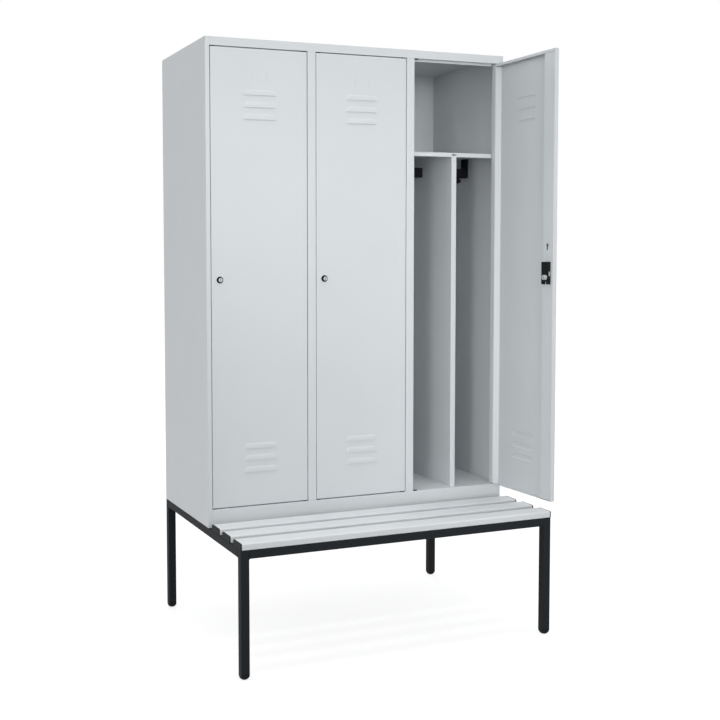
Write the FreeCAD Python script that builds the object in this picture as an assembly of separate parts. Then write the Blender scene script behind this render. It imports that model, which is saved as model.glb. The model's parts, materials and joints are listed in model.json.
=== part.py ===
import FreeCAD, Part
import math
import os

Vector = FreeCAD.Vector

# Three-compartment cloakroom locker on a square-tube underframe with a built-on bench.
# All lengths are in millimetres. While the pieces are drawn, X 0 is the left side of the carcass,
# Y 0 its front and Z 0 the ground; the finished pieces are then moved to the middle of the footprint.

# Carcass, folded from sheet steel
compartments = 3
module_width = 400.0
carcass_depth = 500.0
carcass_height = 1700.0
sheet = 1.0
bend = 0.6
post_half_width = 16.0
post_depth = 21.0
post_lip = 9.0
header_height = 30.0
plinth_height = 63.0
seat_flange = 25.0
rear_flange = 14.0
stop_drop = 8.0
stop_clearance = 0.5
stop_lock_notch = 6.0
stop_hinge_notch = 24.0
panel_clearance = 1.0

# Hat shelf and divider
hat_space = 338.0
shelf_flange = 16.0
shelf_hem = 8.0
shelf_rear_flange = 12.0
shelf_slot_width = 20.0
shelf_slot_height = 5.0
divider_width = 21.0
divider_return = 14.0
divider_rivet_radius = 2.5
divider_rivet_drop = 12.0

# Clothes rail and its sliding hooks, moulded plastic
rail_drop = 76.0
rail_depth = 30.0
rail_height = 36.0
rail_wall = 3.0
rail_slot = 10.0
rail_corner = 4.0
rail_ear = 13.0
rail_ear_corner = 4.0
rail_end_fit = 0.3
slider_length = 20.0
slider_height = 10.0
slider_clearance = 0.5
slider_lift = 0.3
hook_radius = 10.0
hook_thickness = 8.0
hook_half_gauge = 2.25
hook_centre_drop = 8.5
hook_parked = 38.0

# Doors
door_gap = 2.0
door_end_gap = 3.0
door_thickness = 18.0
door_edge_radius = 3.0
door_lip = 10.0
hinge_inset = 9.0
hinge_depth = 7.0
hinge_lip = 21.0
hinge_return_gap = 1.0
open_angle = 91.5
stiffener_width = 57.0
stiffener_foot = 12.0
keyhole_rise = 98.0
keyhole_radius = 5.5
keyhole_slot_width = 7.0
keyhole_slot_height = 22.0

# Pressed louvres and label slits
louvres_per_group = 3
louvre_width = 125.0
louvre_height = 19.0
louvre_proud = 2.5
louvre_corner = 14.0
louvre_taper = 16.0
louvre_blend = 40.0
louvre_pitch = 42.0
louvre_top_margin = 141.0
louvre_bottom_margin = 120.0
slit_spacing = 54.0
slit_height = 28.0
slit_width = 0.8
slit_rise = 32.0

# Hinge pins and the bushes that carry them
pin_radius = 3.0
pin_head_radius = 4.5
pin_head_height = 3.0
pin_reach = 12.0
pin_fit = 0.02
running_clearance = 0.05
bush_length = 18.0
bush_width = 9.0
bush_flange = 2.5
bush_spigot_radius = 4.9
bush_spigot = 5.0

# Lock: rosette and barrel, plug with crank, bolt and case
lock_backset = 31.0
rosette_radius = 12.0
rosette_proud = 2.2
rosette_edge = 1.2
barrel_radius = 9.0
nut_flats = 24.0
nut_height = 4.0
plug_radius = 7.3
plug_proud = 6.0
key_width = 1.8
key_height = 8.0
key_depth = 12.0
bolt_travel = 20.0
plug_turn = 90.0
crank_gap = 0.8
crank_thickness = 2.2
crank_width = 9.0
crank_pin_radius = 2.5
crank_pin_length = 5.5
shaft_radius = 3.5
tail_plate_length = 28.0
tail_plate_width = 17.0
tail_plate_thickness = 1.5
tail_plate_gap = 0.3
lock_screw_radius = 4.5
lock_screw_height = 3.0
bolt_gap = 0.5
bolt_thickness = 4.5
bolt_low = 5.5
bolt_high = 20.5
bolt_tail = 16.0
bolt_nose = 3.5
bolt_bevel = 2.0
yoke_clearance = 0.8
case_width = 38.0
case_below = 24.5
case_above = 55.5
case_depth = 11.0
case_wall = 2.0
case_corner = 3.0
case_edge = 1.5
cavity_below = 10.0
cavity_above = 22.0
bolt_way_clearance = 0.4
fork_width = 19.0
fork_height = 9.0

# Underframe of square steel tube, with the bench on its front part
tube = 30.0
tube_wall = 2.0
tube_corner = 3.5
frame_height = 428.0
bench_depth = 315.0
foot_height = 22.0
foot_pad = 9.0
foot_dome = 18.0
foot_reach = 20.0
foot_insert = 20.0
foot_fit = 0.2
screw_radius = 3.0
screw_head_radius = 5.0
screw_head_height = 4.0
screw_grip = 9.0
screw_clearance = 0.2

# Bench slats, hollow plastic profile with end caps
slats = 3
slat_names = ["front", "middle", "rear"]
slat_width = 70.0
slat_height = 22.0
slat_pitch = 104.0
slat_wall = 2.2
slat_top_radius = 5.0
slat_bottom_radius = 1.5
slat_chambers = 3
slat_grooves = 4
groove_width = 2.0
groove_depth = 0.8
cap_plate = 4.0
cap_plug = 8.0
cap_fit = 0.2

# Cuts run past the faces they open by the overrun; points closer than touch count as one
overrun = 5.0
touch = 0.001

# Places that follow from the sizes above
width = compartments * module_width
base = frame_height
roof = base + carcass_height
floor_top = base + plinth_height
header_bottom = roof - header_height
back_face = carcass_depth - 2 * sheet
stop_face = door_thickness + stop_clearance
shelf_top = header_bottom - hat_space
shelf_underside = shelf_top - sheet
shelf_front = post_depth + panel_clearance
seams = [index * module_width for index in range(compartments + 1)]
inner_seams = seams[1:-1]
centres = [seam + module_width / 2 for seam in seams[:-1]]
bays = [(seam + sheet / 2, seam + module_width - sheet / 2) for seam in seams[:-1]]
bays[0] = (sheet, bays[0][1])
bays[-1] = (bays[-1][0], width - sheet)
rail_bottom = shelf_top - rail_drop
rail_top = rail_bottom + rail_height
rail_centre_y = carcass_depth / 2
rail_y = (rail_centre_y - rail_depth / 2, rail_centre_y + rail_depth / 2)
door_left = post_half_width + door_gap
door_right = module_width - post_half_width - door_gap
door_bottom = floor_top + door_end_gap
door_top = header_bottom - door_end_gap
pivot_x = door_right - hinge_inset
pivot_y = hinge_depth
lock_x = door_left + lock_backset
lock_z = (door_bottom + door_top) / 2
half_turn_angle = math.radians(plug_turn / 2)
crank_radius = bolt_travel / (2 * math.sin(half_turn_angle))
crank_x = crank_radius * math.sin(half_turn_angle)
crank_z = crank_radius * math.cos(half_turn_angle)
crank_front = door_thickness + crank_gap
crank_rear = crank_front + crank_thickness
bolt_front = crank_rear + bolt_gap
bolt_rear = bolt_front + bolt_thickness
case_rear = door_thickness + case_depth
frame_front = -bench_depth
rail_level = base - tube / 2
middle_rail_y = tube / 2
rear_rail_y = carcass_depth - tube / 2
slat_fronts = [frame_front + index * slat_pitch for index in range(slats)]
bearer_places = [tube / 2] + inner_seams + [width - tube / 2]

LEFT = 1
RIGHT = -1
UPWARDS = Vector(0, 0, 1)
# Turns a drawing's (u, v) plane to (Y, Z), extruded along X, or to (X, Z), extruded to the front
ALONG_X = FreeCAD.Rotation(Vector(0, 1, 0), Vector(0, 0, 1), Vector(1, 0, 0), "ZXY")
TOWARDS_FRONT = FreeCAD.Rotation(Vector(1, 0, 0), Vector(0, 0, 1), Vector(0, -1, 0), "ZXY")


def block(x, y, z):
    """Box between limits given as (low, high) pairs."""
    low = Vector(x[0], y[0], z[0])
    size = Vector(x[1], y[1], z[1]) - low
    return Part.makeBox(size.x, size.y, size.z, low)


def rod(radius, start, end):
    """Round bar between two points."""
    return Part.makeCylinder(radius, (end - start).Length, start, end - start)


def around(middle, spread):
    """Limits that lie evenly about a middle."""
    return (middle - spread / 2, middle + spread / 2)


def loop_face(stations):
    """Face inside a closed loop; a station is one point, or the three points of an arc."""
    edges = []
    for here, after in zip(stations, stations[1:] + stations[:1]):
        if len(here) > 1:
            edges.append(Part.Arc(*here).toShape())
        if (after[0] - here[-1]).Length > touch:
            edges.append(Part.LineSegment(here[-1], after[0]).toShape())
    return Part.Face(Part.Wire(edges))


def rounded_face(corners):
    """Face with straight sides; each corner is (u, v, radius)."""
    points = [Vector(u, v) for u, v, radius in corners]
    stations = []
    for index, (u, v, radius) in enumerate(corners):
        here = points[index]
        into = (here - points[index - 1]).normalize()
        out = (points[(index + 1) % len(points)] - here).normalize()
        half_turn = into.getAngle(out) / 2
        inward = (out - into).normalize()
        middle = here + inward * (radius / math.cos(half_turn) - radius)
        reach = radius * math.tan(half_turn)
        arc = [here - into * reach, middle, here + out * reach]
        stations.append(arc if radius > touch else [here])
    return loop_face(stations)


def rounded_rectangle(u, v, radius):
    """Rectangle between limits with four equal corner radii."""
    corners = [(u[0], v[0]), (u[1], v[0]), (u[1], v[1]), (u[0], v[1])]
    return rounded_face([(across, up, radius) for across, up in corners])


def folded_face(path, side):
    """Section of a folded sheet. The path follows one skin and the sheet lies on the given side of it."""
    corners = [Vector(u, v) for u, v in path]
    runs = [(after - here).normalize() for here, after in zip(corners, corners[1:])]
    lefts = [Vector(-run.y, run.x) for run in runs]
    skin = [[corners[0]]]
    other = [[corners[0] + lefts[0] * (side * sheet)]]
    for corner, into, out, left_in, left_out in zip(corners[1:-1], runs, runs[1:], lefts, lefts[1:]):
        turn = LEFT if into.cross(out).z > 0 else RIGHT
        skin_radius = bend + sheet if turn == side else bend
        other_radius = bend if turn == side else bend + sheet
        reach = skin_radius * math.tan(into.getAngle(out) / 2)
        centre = corner - into * reach + left_in * (turn * skin_radius)
        spokes = [left_in, (left_in + left_out).normalize(), left_out]
        skin.append([centre - spoke * (turn * skin_radius) for spoke in spokes])
        other.append([centre - spoke * (turn * other_radius) for spoke in spokes])
    skin.append([corners[-1]])
    other.append([corners[-1] + lefts[-1] * (side * sheet)])
    return loop_face(skin + [station[::-1] for station in reversed(other)])


def drawn_out(face, start, rotation, length):
    """Solid drawn out from a face that is first turned into its plane."""
    solid = face.extrude(UPWARDS * length)
    solid.Placement = FreeCAD.Placement(start, rotation)
    return solid


def upright(face, z):
    """Solid with an (X, Y) section between two heights."""
    return drawn_out(face, Vector(0, 0, z[0]), FreeCAD.Rotation(), z[1] - z[0])


def lengthwise(face, x):
    """Solid with a (Y, Z) section between two places across the locker."""
    return drawn_out(face, Vector(x[0], 0, 0), ALONG_X, x[1] - x[0])


def forwards(face, y):
    """Solid with an (X, Z) section between two depths."""
    return drawn_out(face, Vector(0, y[1], 0), TOWARDS_FRONT, y[1] - y[0])


def flipped(shape):
    """The same piece for the right-hand end of the locker."""
    return shape.mirror(Vector(width / 2, 0, 0), Vector(1, 0, 0))


def bush_places():
    """Pivot places in the corners of every opening, on the hinge side and on the lock side."""
    sides = [pivot_x, module_width - pivot_x]
    return [seam + side for seam in seams[:-1] for side in sides]


def upright_holes(radius, places, z):
    """Round cutters through a level sheet at (x, y) places."""
    return [rod(radius, Vector(x, y, z - overrun), Vector(x, y, z + overrun)) for x, y in places]


def side_panel():
    """Left side with its front post and rear flange in one folded sheet."""
    path = [
        (post_half_width - post_lip, post_depth),
        (post_half_width, post_depth),
        (post_half_width, 0),
        (0, 0),
        (0, carcass_depth),
        (rear_flange, carcass_depth),
    ]
    return upright(folded_face(path, RIGHT), (base, roof - sheet))


def centre_post(seam):
    """Lipped channel over the front edge of a partition."""
    left = seam - post_half_width
    right = seam + post_half_width
    path = [
        (left + post_lip, post_depth),
        (left, post_depth),
        (left, 0),
        (right, 0),
        (right, post_depth),
        (right - post_lip, post_depth),
    ]
    return upright(folded_face(path, LEFT), (floor_top, header_bottom))


def partition(seam):
    """Flat wall between two compartments, stepped back under the header."""
    wall = block(around(seam, sheet), (sheet, back_face), (floor_top, roof - sheet))
    step = (0, stop_face + sheet + panel_clearance)
    return wall.cut(block(around(seam, sheet + overrun), step, (header_bottom, roof)))


def back_panel():
    """Flat rear wall in front of the rear flanges."""
    inset = sheet + bend
    return block((inset, width - inset), (back_face, back_face + sheet), (base, roof - inset))


def top_panel():
    """Roof, header and door-stop lip in one folded sheet, notched at the posts and at the hinges."""
    path = [
        (stop_face, header_bottom - stop_drop),
        (stop_face, header_bottom),
        (0, header_bottom),
        (0, roof),
        (carcass_depth, roof),
        (carcass_depth, roof - rear_flange),
    ]
    panel = lengthwise(folded_face(path, RIGHT), (0, width))
    under_roof = (header_bottom - stop_drop - overrun, roof - sheet)
    corner = block((-overrun, post_half_width), (-overrun, post_depth), under_roof)
    rear_corner = block((-overrun, rear_flange), (back_face, carcass_depth + overrun), under_roof)
    cuts = [corner, rear_corner, flipped(corner), flipped(rear_corner)]
    lip_y = (stop_face - overrun, stop_face + sheet + overrun)
    for seam in seams:
        left = seam - post_half_width - stop_hinge_notch
        right = seam + post_half_width + stop_lock_notch
        cuts.append(block((left, right), lip_y, (under_roof[0], header_bottom)))
    cuts += upright_holes(bush_spigot_radius, [(x, pivot_y) for x in bush_places()], header_bottom)
    return panel.cut(cuts)


def bottom_panel():
    """Floor, plinth and seat flanges in one folded tray that stands on the underframe."""
    path = [
        (seat_flange, base),
        (0, base),
        (0, floor_top),
        (back_face, floor_top),
        (back_face, base),
        (back_face - seat_flange, base),
    ]
    panel = lengthwise(folded_face(path, RIGHT), (sheet, width - sheet))
    corner = block((-overrun, post_half_width), (-overrun, post_depth), (base - overrun, roof))
    cuts = [corner, flipped(corner)]
    cuts += upright_holes(bush_spigot_radius, [(x, pivot_y) for x in bush_places()], floor_top)
    cuts += upright_holes(screw_radius, carcass_screw_places(), base)
    return panel.cut(cuts)


def hat_shelf(bay, centre):
    """Shelf with a hemmed front flange, a tab slot over the divider and a rear flange."""
    path = [
        (shelf_front + shelf_hem, shelf_top - shelf_flange),
        (shelf_front, shelf_top - shelf_flange),
        (shelf_front, shelf_top),
        (back_face, shelf_top),
        (back_face, shelf_top - shelf_rear_flange),
    ]
    shelf = lengthwise(folded_face(path, RIGHT), bay)
    slot_y = around(shelf_front, 2 * overrun)
    slot_z = around(shelf_top - shelf_flange / 2, shelf_slot_height)
    return shelf.cut(block(around(centre, shelf_slot_width), slot_y, slot_z))


def divider(centre):
    """Upright sheet from the floor to the shelf, with a folded front and a window for the clothes rail."""
    left = centre - divider_width / 2
    right = centre + divider_width / 2
    front = shelf_front
    path = [(left, back_face), (left, front), (right, front), (right, front + divider_return)]
    sheet_wall = upright(folded_face(path, LEFT), (floor_top, shelf_underside))
    across = around(centre, divider_width + overrun)
    flange_y = (front - overrun, front + shelf_hem + panel_clearance)
    front_cut = block(across, flange_y, (shelf_top - shelf_flange, roof))
    rear_y = (back_face - sheet - panel_clearance, carcass_depth)
    rear_cut = block(across, rear_y, (shelf_top - shelf_rear_flange - panel_clearance, roof))
    window_y = (rail_y[0] - panel_clearance, rail_y[1] + panel_clearance)
    rail_cut = block(across, window_y, (rail_bottom - panel_clearance, rail_top + panel_clearance))
    rivet_z = shelf_top - shelf_flange - divider_rivet_drop
    rivet_start = Vector(centre, front - overrun, rivet_z)
    rivet = rod(divider_rivet_radius, rivet_start, Vector(centre, front + overrun, rivet_z))
    return sheet_wall.cut([front_cut, rear_cut, rail_cut, rivet])


def clothes_rail(bay):
    """Slotted track that hangs from the shelf by an ear at each end."""
    x = (bay[0] + rail_end_fit, bay[1] - rail_end_fit)
    inside_y = (rail_y[0] + rail_wall, rail_y[1] - rail_wall)
    inside_z = (rail_bottom + rail_wall, rail_top - rail_wall)
    track = lengthwise(rounded_rectangle(rail_y, (rail_bottom, rail_top), rail_corner), x)
    past = (x[0] - overrun, x[1] + overrun)
    channel = lengthwise(rounded_rectangle(inside_y, inside_z, rail_corner - rail_wall), past)
    slot = block(past, around(rail_centre_y, rail_slot), (rail_bottom - overrun, inside_z[1] - rail_wall))
    ear_top = shelf_underside
    ear_foot = rail_top - rail_wall
    ear_corners = [
        (x[0], ear_foot, 0),
        (x[0] + rail_ear + rail_ear_corner, ear_foot, 0),
        (x[0] + rail_ear + rail_ear_corner, rail_top, 0),
        (x[0] + rail_ear, rail_top, rail_ear_corner),
        (x[0] + rail_ear, ear_top, 0),
        (x[0], ear_top, 0),
    ]
    ear = forwards(rounded_face(ear_corners), rail_y)
    other_ear = ear.mirror(Vector(sum(bay) / 2, 0, 0), Vector(1, 0, 0))
    return track.fuse([ear, other_ear]).cut([channel, slot]).removeSplitter()


def coat_hook():
    """Double hook under a slider, drawn at X 0."""
    slider_z = rail_bottom + rail_wall + slider_lift
    slider_width = rail_depth - 2 * rail_wall - 2 * slider_clearance
    neck_width = rail_slot - 4 * slider_clearance
    slider_y = around(rail_centre_y, slider_width)
    slider = block(around(0, slider_length), slider_y, (slider_z, slider_z + slider_height))
    hook_z = rail_bottom - hook_centre_drop
    hook_y = around(rail_centre_y, hook_thickness)
    outer = hook_radius + hook_half_gauge
    inner = hook_radius - hook_half_gauge
    right_tip = [Vector(outer, 0), Vector(hook_radius, hook_half_gauge), Vector(inner, 0)]
    left_tip = [Vector(-inner, 0), Vector(-hook_radius, hook_half_gauge), Vector(-outer, 0)]
    under = [Vector(inner, 0), Vector(0, -inner), Vector(-inner, 0)]
    round_below = [Vector(-outer, 0), Vector(0, -outer), Vector(outer, 0)]
    arms = forwards(loop_face([right_tip, under, left_tip, round_below]), hook_y)
    arms.translate(Vector(0, 0, hook_z))
    neck = block(around(0, neck_width), hook_y, (hook_z - hook_radius, rail_bottom - slider_lift))
    throat = block(around(0, neck_width), around(rail_centre_y, neck_width), (hook_z, slider_z))
    return slider.fuse([arms, neck, throat]).removeSplitter()


def louvre_form(inset, rear):
    """Pressed hood where its side, front and plan outlines meet, each drawn in by the inset."""
    half = louvre_width / 2 - inset
    top = louvre_height - inset
    proud = louvre_proud - inset
    arch = (louvre_height ** 2 + louvre_proud ** 2) / (2 * louvre_proud)
    radius = arch - inset
    back = arch - louvre_proud
    rise = math.sqrt(radius ** 2 - (back - rear) ** 2)
    half_angle = math.asin(rise / radius) / 2
    bulge = Vector(back - radius * math.cos(half_angle), radius * math.sin(half_angle))
    side = loop_face([[Vector(-proud, 0), bulge, Vector(rear, rise)], [Vector(rear, 0)]])
    corner = louvre_corner - inset
    front = rounded_face([(-half, 0, 0), (half, 0, 0), (half, top, corner), (-half, top, corner)])
    foot = louvre_width / 2 - inset * math.hypot(louvre_taper, louvre_proud) / louvre_proud
    shoulder = foot - louvre_taper * proud / louvre_proud
    plan = rounded_face([
        (-foot, rear, 0),
        (-foot, 0, 0),
        (-shoulder, -proud, louvre_blend),
        (shoulder, -proud, louvre_blend),
        (foot, 0, 0),
        (foot, rear, 0),
    ])
    hood = lengthwise(side, (-half, half))
    return hood.common(forwards(front, (-proud, rear))).common(upright(plan, (0, top)))


def louvre_heights():
    """Lower edges of the louvres in the upper and the lower group."""
    steps = [index * louvre_pitch for index in range(louvres_per_group)]
    upper = [door_top - louvre_top_margin - louvre_height - step for step in steps]
    return upper + [door_bottom + louvre_bottom_margin + step for step in steps]


def moved(shape, place):
    """Copy of a shape at another place."""
    copy = shape.copy()
    copy.translate(place)
    return copy


def rounded_pan(x, y, z, radius):
    """Block whose front edges are rounded as a folded pan's are."""
    body = block(x, y, z)
    front_edges = [edge for edge in body.Edges if edge.BoundBox.YMax < y[0] + touch]
    upright_front = [edge for edge in front_edges if edge.BoundBox.YMin > y[0] - touch]
    return body.makeFillet(radius, upright_front)


def door_leaf():
    """Folded pan with pressed louvres, label slits and a boxed hinge edge, drawn shut."""
    x = (door_left, door_right)
    z = (door_bottom, door_top)
    inside_x = (x[0] + sheet, x[1] - sheet)
    inside_z = (z[0] + sheet, z[1] - sheet)
    outside = rounded_pan(x, (0, door_thickness), z, door_edge_radius)
    inside = rounded_pan(inside_x, (sheet, door_thickness + overrun), inside_z, door_edge_radius - sheet)
    pan = outside.cut(inside)
    lip = block(x, (door_thickness - sheet, door_thickness), (z[1] - door_lip, z[1]))
    slope = door_thickness - sheet - hinge_return_gap
    fold_x = x[1] - hinge_lip
    rear = door_thickness
    return_path = [(x[1], rear), (fold_x, rear), (fold_x - slope, rear - slope)]
    hinge_return = upright(folded_face(return_path, LEFT), inside_z)
    places = [Vector(module_width / 2, 0, height) for height in louvre_heights()]
    hood = louvre_form(0, sheet / 2)
    mouth = louvre_form(sheet, sheet)
    leaf = pan.fuse([lip, hinge_return] + [moved(hood, place) for place in places])
    cuts = [moved(mouth, place) for place in places]
    slit_foot = door_top - louvre_top_margin + slit_rise
    slit_z = (slit_foot, slit_foot + slit_height)
    for slit_x in around(module_width / 2, slit_spacing):
        cuts.append(block(around(slit_x, slit_width), around(0, 2 * overrun), slit_z))
    cuts.append(rod(barrel_radius, lock_point(-overrun), lock_point(overrun)))
    hole_radius = pin_radius + running_clearance
    cuts += upright_holes(hole_radius, [(pivot_x, pivot_y)], door_top)
    cuts += upright_holes(hole_radius, [(pivot_x, pivot_y)], door_bottom)
    return leaf.cut(cuts).removeSplitter()


def door_stiffener():
    """Channel that boxes in the lock side of the door, with a keyhole slot above the lock."""
    left = door_left + sheet
    right = door_left + stiffener_width
    foot_y = 2 * sheet
    rear = door_thickness
    path = [(left, rear), (right, rear), (right, foot_y), (right + stiffener_foot, foot_y)]
    ends = (door_bottom + door_edge_radius, door_top - door_lip - panel_clearance)
    channel = upright(folded_face(path, RIGHT), ends)
    web = (door_thickness - overrun, door_thickness + overrun)
    barrel = rod(barrel_radius, lock_point(web[0]), lock_point(web[1]))
    slot_foot = lock_z + keyhole_rise
    slot_x = around(lock_x, keyhole_slot_width)
    slot = block(slot_x, web, (slot_foot, slot_foot + keyhole_slot_height - keyhole_radius))
    eye_z = slot_foot + keyhole_slot_height - keyhole_radius
    eye = rod(keyhole_radius, Vector(lock_x, web[0], eye_z), Vector(lock_x, web[1], eye_z))
    return channel.cut([barrel, slot, eye])


def lock_point(y):
    """Point on the lock's turning axis."""
    return Vector(lock_x, y, lock_z)


def lock_barrel():
    """Moulded barrel with its rosette, and the hexagon nut behind the door skin."""
    rosette = rod(rosette_radius, lock_point(-rosette_proud), lock_point(0))
    rim = [edge for edge in rosette.Edges if edge.BoundBox.YMax < touch - rosette_proud]
    rosette = rosette.makeFillet(rosette_edge, rim)
    barrel = rod(barrel_radius, lock_point(0), lock_point(door_thickness))
    bore = rod(plug_radius + running_clearance, lock_point(-overrun), lock_point(door_thickness + overrun))
    shell = rosette.fuse(barrel).cut(bore)
    corner_radius = nut_flats / (2 * math.cos(math.pi / 6))
    angles = [index * math.pi / 3 for index in range(6)]
    corners = [(corner_radius * math.cos(angle), corner_radius * math.sin(angle), 0) for angle in angles]
    nut = forwards(rounded_face(corners), (sheet, sheet + nut_height))
    nut.translate(Vector(lock_x, 0, lock_z))
    return Part.makeCompound([shell, nut.cut(barrel)])


def lock_plug():
    """Plug with keyhole, crank, crank pin and the shaft that ends in a tail plate and screw head."""
    face = -rosette_proud - plug_proud
    plate_front = case_rear + tail_plate_gap
    plate_rear = plate_front + tail_plate_thickness
    body = rod(plug_radius, lock_point(face), lock_point(crank_front))
    key_z = around(lock_z, key_height)
    key = block(around(lock_x, key_width), (face - overrun, face + key_depth), key_z)
    half = crank_width / 2
    arm_x = (lock_x - half, lock_x + crank_radius + half)
    arm_face = rounded_rectangle(arm_x, around(lock_z, crank_width), half)
    arm = forwards(arm_face, (crank_front, crank_rear))
    arm.rotate(lock_point(0), Vector(0, -1, 0), plug_turn / 2)
    pin_start = Vector(lock_x + crank_x, crank_rear, lock_z + crank_z)
    pin = rod(crank_pin_radius, pin_start, pin_start + Vector(0, crank_pin_length, 0))
    shaft = rod(shaft_radius, lock_point(crank_front), lock_point(plate_rear))
    plate_x = around(lock_x, tail_plate_length)
    plate_face = rounded_rectangle(plate_x, around(lock_z, tail_plate_width), tail_plate_width / 2)
    plate = forwards(plate_face, (plate_front, plate_rear))
    screw = rod(lock_screw_radius, lock_point(plate_rear), lock_point(plate_rear + lock_screw_height))
    return body.cut(key).fuse([arm, pin, shaft, plate, screw])


def lock_bolt():
    """Sliding bolt with an open yoke for the crank pin and a bevelled nose."""
    nose = lock_x - case_width / 2 - bolt_nose
    tail = lock_x + bolt_tail
    corners = [
        (nose + bolt_bevel, bolt_front, 0),
        (tail, bolt_front, 0),
        (tail, bolt_rear, 0),
        (nose, bolt_rear, 0),
        (nose, bolt_front + bolt_bevel, 0),
    ]
    plate = upright(rounded_face(corners), (lock_z + bolt_low, lock_z + bolt_high))
    reach = crank_pin_radius + yoke_clearance
    yoke_z = (lock_z + bolt_low - overrun, lock_z + crank_radius + reach)
    yoke_y = (bolt_front - overrun, bolt_rear + overrun)
    return plate.cut(block(around(lock_x + crank_x, 2 * reach), yoke_y, yoke_z))


def lock_case():
    """Moulded case on the stiffener, open towards it, with a fork at its lower end."""
    x = around(lock_x, case_width)
    z = (lock_z - case_below, lock_z + case_above)
    body = forwards(rounded_rectangle(x, z, case_corner), (door_thickness, case_rear))
    rim = [edge for edge in body.Edges if edge.BoundBox.YMin > case_rear - touch]
    body = body.makeFillet(case_edge, rim)
    inside_x = (x[0] + case_wall, x[1] - case_wall)
    inside_z = (lock_z - cavity_below, lock_z + cavity_above)
    cavity = block(inside_x, (door_thickness - overrun, case_rear - case_wall), inside_z)
    gap = bolt_way_clearance
    way_z = (lock_z + bolt_low - gap, lock_z + bolt_high + gap)
    way = block((x[0] - overrun, inside_x[0] + overrun), (bolt_front - gap, bolt_rear + gap), way_z)
    fork_y = (door_thickness - overrun, case_rear + overrun)
    fork = block(around(lock_x, fork_width), fork_y, (z[0] - overrun, z[0] + fork_height))
    shaft = rod(shaft_radius + running_clearance, lock_point(door_thickness), lock_point(case_rear + overrun))
    return body.cut([cavity, way, fork, shaft])


def hung(shape, module, angle):
    """A piece of the shut first door, moved to its module and swung open about its pins."""
    piece = shape.copy()
    piece.rotate(Vector(pivot_x, pivot_y, 0), UPWARDS, angle)
    piece.translate(Vector(module * module_width, 0, 0))
    return piece


def above_and_below(shape, x):
    """A piece drawn under a header at the origin, at the header and turned over at the floor."""
    under = shape.mirror(Vector(0, 0, 0), UPWARDS)
    return [moved(shape, Vector(x, pivot_y, header_bottom)), moved(under, Vector(x, pivot_y, floor_top))]


def pivot_bushes():
    """Flanged bushes in every corner of every opening."""
    outline = rounded_rectangle(around(0, bush_length), around(0, bush_width), bush_width / 2)
    spigot = rod(bush_spigot_radius, Vector(0, 0, 0), Vector(0, 0, bush_spigot))
    bore = rod(pin_radius + pin_fit, Vector(0, 0, -overrun), Vector(0, 0, bush_spigot + overrun))
    bush = upright(outline, (-bush_flange, 0)).fuse(spigot).cut(bore)
    return Part.makeCompound([piece for x in bush_places() for piece in above_and_below(bush, x)])


def hinge_pins():
    """Headed pins that drop through the bushes into the doors."""
    shank = rod(pin_radius, Vector(0, 0, -door_end_gap - pin_reach), Vector(0, 0, bush_spigot))
    head = rod(pin_head_radius, Vector(0, 0, bush_spigot), Vector(0, 0, bush_spigot + pin_head_height))
    pin = shank.fuse(head)
    places = [seam + pivot_x for seam in seams[:-1]]
    return Part.makeCompound([piece for x in places for piece in above_and_below(pin, x)])


def square_face(size, radius):
    """Square section with rounded corners about the origin."""
    return rounded_rectangle(around(0, size), around(0, size), radius)


def tube_bar(start, end):
    """Length of square tube between two points on its centre line."""
    length = (end - start).Length
    outer = square_face(tube, tube_corner).extrude(UPWARDS * length)
    inner = square_face(tube - 2 * tube_wall, tube_corner - tube_wall).extrude(UPWARDS * length)
    bar = outer.cut(inner)
    bar.Placement = FreeCAD.Placement(start, FreeCAD.Rotation(UPWARDS, end - start))
    return bar


def carcass_screw_places():
    """Screws that hold the carcass to the rails under it."""
    return [(x, y) for x in centres for y in (middle_rail_y, rear_rail_y)]


def slat_screw_places():
    """Screws that hold each slat to the side rails and the bearers."""
    return [(x, front + slat_width / 2) for front in slat_fronts for x in bearer_places]


def drilled(bar):
    """A rail or bearer with clearance holes for the frame screws."""
    places = carcass_screw_places() + slat_screw_places()
    radius = screw_radius + screw_clearance
    low = base - tube - overrun
    return bar.cut([rod(radius, Vector(x, y, low), Vector(x, y, base + overrun)) for x, y in places])


def underframe():
    """Legs, rails and bearers, each a length of tube."""
    ends = {"left": tube / 2, "right": width - tube / 2}
    rows = {"front": frame_front + tube / 2, "rear": rear_rail_y}
    pieces = {}
    for row, y in rows.items():
        for end, x in ends.items():
            pieces["leg_%s_%s" % (row, end)] = tube_bar(Vector(x, y, foot_height), Vector(x, y, base))
    for row, y in {**rows, "middle": middle_rail_y}.items():
        rail = tube_bar(Vector(tube, y, rail_level), Vector(width - tube, y, rail_level))
        pieces["frame_rail_" + row] = drilled(rail)
    start_y = frame_front + tube
    for end, x in ends.items():
        rail = tube_bar(Vector(x, start_y, rail_level), Vector(x, carcass_depth - tube, rail_level))
        pieces["frame_rail_" + end] = drilled(rail)
    bearers = [tube_bar(Vector(x, start_y, rail_level), Vector(x, 0, rail_level)) for x in inner_seams]
    pieces["bench_bearers"] = Part.makeCompound([drilled(bearer) for bearer in bearers])
    return pieces


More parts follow.
